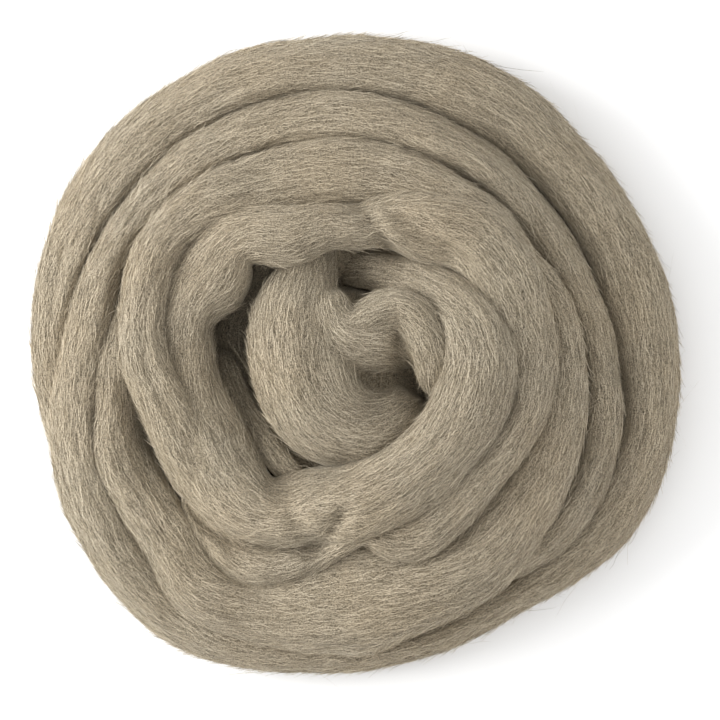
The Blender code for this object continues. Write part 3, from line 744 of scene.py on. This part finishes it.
def fibre_tree(solid, material):
    """Lays short wavy locks of fibre on the skin, each along the strand below it."""
    net, given = shape_tree("lay_fibres", {
        "Seed": 1, "Spacing": 1.4, "Points per Fibre": 5, "Shortest": 4.0,
        "Longest": 10.0, "Width": 0.17, "Wave": 0.3, "Wave Length": 4.0, "Slant": 0.4,
        "Lift": 0.06, "Fly": 0.6, "Tilt": 0.8, "Darkest": 0.4, "Lightest": 1.0, "Thinner on Top": 0.0,
    })
    skin = given["Shape"]
    seed = given["Seed"]

    def chance(low, high, step):
        return net.add("FunctionNodeRandomValue", {"data_type": "FLOAT"},
                       {"Min": low, "Max": high, "Seed": seed * 10.0 + step})

    # Only the outside of the coil has fibres, not the parts of a strand inside its neighbour.
    place = net.add("GeometryNodeInputPosition")
    outside = net.add("GeometryNodeObjectInfo", None, {"Object": solid}, "Geometry")
    near = net.add("GeometryNodeProximity", {"target_element": "FACES"},
                   {"Geometry": outside}, "Position")
    facing = net.add("GeometryNodeSampleNearestSurface", {"data_type": "FLOAT_VECTOR"}, {
        "Mesh": outside, "Value": net.add("GeometryNodeInputNormal"),
        "Sample Position": place}, "Value")
    height = net.add("ShaderNodeVectorMath", {"operation": "DOT_PRODUCT"},
                     {0: place - near, 1: facing}, "Value")
    above = net.maths("GREATER_THAN", net.split(place)[2], FOOT * MM)
    shown = above * net.maths("GREATER_THAN", height, -BURIED * MM)
    flat = net.add("ShaderNodeVectorMath", {"operation": "CROSS_PRODUCT"},
                   {0: net.add("GeometryNodeInputNormal"), 1: net.read("way", "FLOAT_VECTOR")})
    flat = net.add("ShaderNodeVectorMath", {"operation": "LENGTH"}, {0: flat}, "Value")
    level = net.maths("MAXIMUM", net.split(net.add("GeometryNodeInputNormal"))[2], 0.0)
    shown = shown * net.maths("GREATER_THAN", flat, END_FACING)
    shown = shown * (1.0 - level * given["Thinner on Top"])
    spacing = given["Spacing"] * MM
    spread = net.node("GeometryNodeDistributePointsOnFaces", {"distribute_method": "POISSON"}, {
        "Mesh": skin, "Distance Min": spacing, "Density Max": 3.0 / (spacing * spacing),
        "Density Factor": shown, "Seed": seed})
    spots = net.out(spread, "Points")
    out = net.out(spread, "Normal")
    way = net.read("way", "FLOAT_VECTOR")
    side = net.add("ShaderNodeVectorMath", {"operation": "CROSS_PRODUCT"}, {0: out, 1: way})
    side = net.add("ShaderNodeVectorMath", {"operation": "NORMALIZE"}, {0: side})
    ahead = net.add("ShaderNodeVectorMath", {"operation": "CROSS_PRODUCT"}, {0: side, 1: out})
    ahead = ahead * net.maths("SIGN", chance(-1.0, 1.0, 10.0))
    spots = net.keep(spots, "root", place, "FLOAT_VECTOR")
    spots = net.keep(spots, "side", side, "FLOAT_VECTOR")
    spots = net.keep(spots, "ahead", ahead, "FLOAT_VECTOR")
    spots = net.keep(spots, "reach", chance(given["Shortest"], given["Longest"], 1.0) * MM)
    x, y, _ = net.split(net.read("grain", "FLOAT_VECTOR"))
    lock = net.flat_noise(x / (SHARED_WIDTH * MM), y / (SHARED_LENGTH * MM), 2.0)
    tone = chance(given["Darkest"], given["Lightest"], 2.0) + (lock - 0.5) * SHARED_TONE
    # Painted shade: a fibre's tone is lowered where its root lies low between wool on both sides.
    spots = net.keep(spots, "tone", tone * (1.0 - net.read("deep") * CREASE_SHADE_ON_FIBRES))
    spots = net.keep(spots, "slant", chance(-1.0, 1.0, 3.0) * chance(0.0, 1.0, 4.0) * given["Slant"])
    spots = net.keep(spots, "fly", chance(0.0, 1.0, 5.0) ** 2.0 * given["Fly"] * MM)
    spots = net.keep(spots, "sway", chance(0.3, 1.3, 6.0) * given["Wave"] * MM)
    spots = net.keep(spots, "phase", chance(0.0, 2.0 * math.pi, 7.0))
    spots = net.keep(spots, "tilt", chance(-1.0, 1.0, 8.0) * given["Tilt"])
    spots = net.keep(spots, "lift", chance(0.3, 1.7, 9.0) * given["Lift"] * MM)
    line = net.add("GeometryNodeCurvePrimitiveLine", None,
                   {"Start": (0.0, 0.0, 0.0), "End": (0.001, 0.0, 0.0)})
    line = net.add("GeometryNodeResampleCurve", {"mode": "COUNT"},
                   {"Curve": line, "Count": given["Points per Fibre"]})
    locks = net.add("GeometryNodeInstanceOnPoints", None, {"Points": spots, "Instance": line})
    locks = net.add("GeometryNodeRealizeInstances", None, {"Geometry": locks})
    share = net.add("GeometryNodeSplineParameter", take="Factor")
    locks = net.keep(locks, "share", share)

    # Each lock runs along the strand, one way or the other, with a slant and a wave, and lies back on
    # the skin. It never goes through the table.
    share = net.read("share")
    run = (share - 0.5) * net.read("reach")
    wave = net.maths("SINE", run / MM / given["Wave Length"] * 2.0 * math.pi + net.read("phase"))
    across = run * net.read("slant") + wave * net.read("sway")
    free = net.read("root", "FLOAT_VECTOR") + net.read("ahead", "FLOAT_VECTOR") * run
    free = free + net.read("side", "FLOAT_VECTOR") * across

    def on_skin(what):
        return net.add("GeometryNodeSampleNearestSurface", {"data_type": "FLOAT_VECTOR"}, {
            "Mesh": skin, "Value": what, "Sample Position": free}, "Value")

    rise = net.read("lift") + net.read("fly") * share * share
    up = on_skin(net.add("GeometryNodeInputNormal"))
    lying = net.split(on_skin(place) + up * rise)
    lying = net.combine(lying[0], lying[1], net.maths("MAXIMUM", lying[2], given["Width"] * MM))
    locks = net.add("GeometryNodeSetPosition", None, {"Geometry": locks, "Position": lying})
    tilt = net.read("tilt")
    face = up * net.maths("COSINE", tilt) + net.read("side", "FLOAT_VECTOR") * net.maths("SINE", tilt)
    locks = net.add("GeometryNodeSetCurveNormal", {"mode": "FREE"}, {"Curve": locks, "Normal": face})

    # A fibre is a flat band, widest in its middle.
    slim = net.maths("SINE", (share * 0.92 + 0.04) * math.pi) ** 0.6
    band = net.add("GeometryNodeCurvePrimitiveLine", None,
                   {"Start": (0.0, -0.5, 0.0), "End": (0.0, 0.5, 0.0)})
    locks = net.add("GeometryNodeCurveToMesh", None, {
        "Curve": locks, "Profile Curve": band, "Scale": slim * given["Width"] * MM})
    return close_tree(net, locks, material)


# Fibres: tones and their colours, and how strongly the small waves show as light and dark.
FIBRE_STEPS = [
    (0.0, (0.0429, 0.0341, 0.0226)), (0.3, (0.163, 0.133, 0.0896)), (1.0, (0.531, 0.455, 0.34)),
]
CRIMP_STRENGTH = 0.62


def fibre_material(material):
    """Undyed wool again, each lock a little lighter or darker than the next."""
    material.use_nodes = True
    net = Net(material.node_tree)
    shader = material.node_tree.nodes["Principled BSDF"]
    # The tone carries the painted crease shade of the fibre's root.
    tone = net.add("ShaderNodeAttribute", {"attribute_name": "tone"}, take="Fac")
    colour = fleece_colour(net, tone + crimped(net) * CRIMP_STRENGTH, FIBRE_STEPS)
    net.lead(colour, shader.inputs["Base Color"])
    shader.inputs["Roughness"].default_value = 0.7
    shader.inputs["Specular IOR Level"].default_value = 0.35
    shader.inputs["Sheen Weight"].default_value = 0.55
    shader.inputs["Sheen Roughness"].default_value = 0.4
    shader.inputs["Sheen Tint"].default_value = SHEEN_TINT


fibre = bpy.data.materials.new("wool_fibre")
fibre_material(fibre)
laying = fibre_tree(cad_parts["wool_roving"], fibre)
for name, *sizes in LAYS:
    mesh = grown(name, skin, laying, dict(zip(LAY_SIZES, sizes)))
    lay = bpy.data.objects.new(name, mesh)
    bpy.context.scene.collection.objects.link(lay)
    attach(lay, "root")
    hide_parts("wool_roving")


# ---------------------------------------------------------------------------------------------------
# Table top, light and camera.
# A plain pale table, a soft box low on the left and a weak one on the right, with the camera straight
# above.

table = bpy.data.meshes.new("table_top")
plane = bmesh.new()
bmesh.ops.create_grid(plane, x_segments=1, y_segments=1, size=3.0)
plane.to_mesh(table)
plane.free()
table_top = bpy.data.objects.new("table_top", table)
bpy.context.scene.collection.objects.link(table_top)
pale = bpy.data.materials.new("pale_table")
pale.use_nodes = True
paint = pale.node_tree.nodes["Principled BSDF"]
paint.inputs["Base Color"].default_value = (0.95, 0.95, 0.95, 1.0)
paint.inputs["Roughness"].default_value = 0.9
paint.inputs["Specular IOR Level"].default_value = 0.0
table.materials.append(pale)


def soft_lamp(name, spot, size, watts):
    """A square soft box that faces the coil."""
    lamp = bpy.data.lights.new(name, "AREA")
    lamp.shape = "SQUARE"
    lamp.size = size
    lamp.energy = watts
    item = bpy.data.objects.new(name, lamp)
    item.location = spot
    item.rotation_euler = (Vector((0, 0, 0.02)) - Vector(spot)).to_track_quat("-Z", "Y").to_euler()
    bpy.context.scene.collection.objects.link(item)


soft_lamp("soft_box_left", (-1.3, 0.2, 0.62), 0.9, 30.0)
soft_lamp("soft_box_right", (1.35, 0.0, 0.6), 1.1, 3.5)
world = bpy.data.worlds.new("studio")
bpy.context.scene.world = world
world.use_nodes = True
world.node_tree.nodes["Background"].inputs["Color"].default_value = (1.0, 1.0, 1.0, 1.0)
world.node_tree.nodes["Background"].inputs["Strength"].default_value = 1.04

bpy.context.scene.view_settings.view_transform = "Standard"

# In metres: width of the view, how far below the camera it is that wide, and the camera's place. The
# sensor's width is in millimetres.
VIEW_WIDTH = 0.223632
VIEW_DEPTH = 3.985
CAMERA_PLACE = (0.001433, -0.0018624, 4.0)
SENSOR_WIDTH = 36.0

camera = bpy.data.cameras.new("camera")
camera.sensor_width = SENSOR_WIDTH
camera.lens = SENSOR_WIDTH * VIEW_DEPTH / VIEW_WIDTH
camera.clip_end = 20.0
eye = bpy.data.objects.new("camera", camera)
eye.location = CAMERA_PLACE
bpy.context.scene.collection.objects.link(eye)
bpy.context.scene.camera = eye
